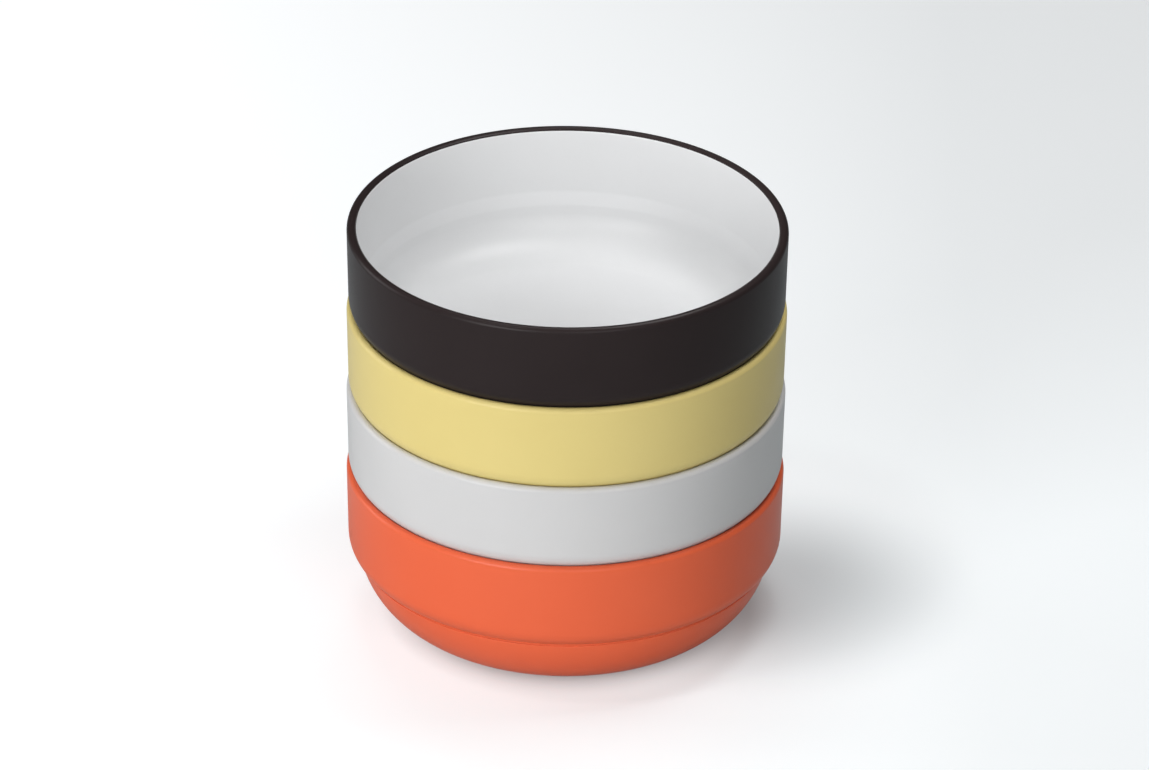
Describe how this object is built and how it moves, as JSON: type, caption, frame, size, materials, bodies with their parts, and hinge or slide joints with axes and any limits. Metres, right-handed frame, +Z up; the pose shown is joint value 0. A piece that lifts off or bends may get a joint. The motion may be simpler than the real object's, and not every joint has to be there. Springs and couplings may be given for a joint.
{
  "type": "hair color mixing bowl set",
  "caption": "Nest of round, double-walled mixing bowls for hair colour, each with a coloured wall and base cup, a white liner and a non-slip ring; the bowls lift apart.",
  "frame": {"origin": "middle of the face that the nest stands on, under the lowest bowl's non-slip ring", "axes": "+Z up along the bowls' common axis, out of the open mouth; +X and +Y are across the bowls, which are round"},
  "size_m": [0.13, 0.13, 0.1282],
  "materials": {
    "orange_plastic": "finely textured matte",
    "grey_plastic": "finely textured matte",
    "yellow_plastic": "finely textured matte",
    "black_plastic": "finely textured matte",
    "liner_plastic": "satin white",
    "soft_ring": "soft matte"
  },
  "bodies": {
    "orange_bowl": {"orange_wall": "orange_plastic", "orange_base_cup": "orange_plastic", "orange_liner": "liner_plastic", "orange_foot_ring": "soft_ring"},
    "grey_bowl": {"grey_wall": "grey_plastic", "grey_base_cup": "grey_plastic", "grey_liner": "liner_plastic", "grey_foot_ring": "soft_ring"},
    "yellow_bowl": {"yellow_wall": "yellow_plastic", "yellow_base_cup": "yellow_plastic", "yellow_liner": "liner_plastic", "yellow_foot_ring": "soft_ring"},
    "black_bowl": {"black_wall": "black_plastic", "black_base_cup": "black_plastic", "black_liner": "liner_plastic", "black_foot_ring": "soft_ring"}
  },
  "joints": [
    {"name": "grey_lift", "type": "slide", "parent": "orange_bowl", "child": "grey_bowl", "axis": [0, 0, 1], "range_m": [0, 0.035]},
    {"name": "yellow_lift", "type": "slide", "parent": "grey_bowl", "child": "yellow_bowl", "axis": [0, 0, 1], "range_m": [0, 0.035]},
    {"name": "black_lift", "type": "slide", "parent": "yellow_bowl", "child": "black_bowl", "axis": [0, 0, 1], "range_m": [0, 0.035]}
  ]
}
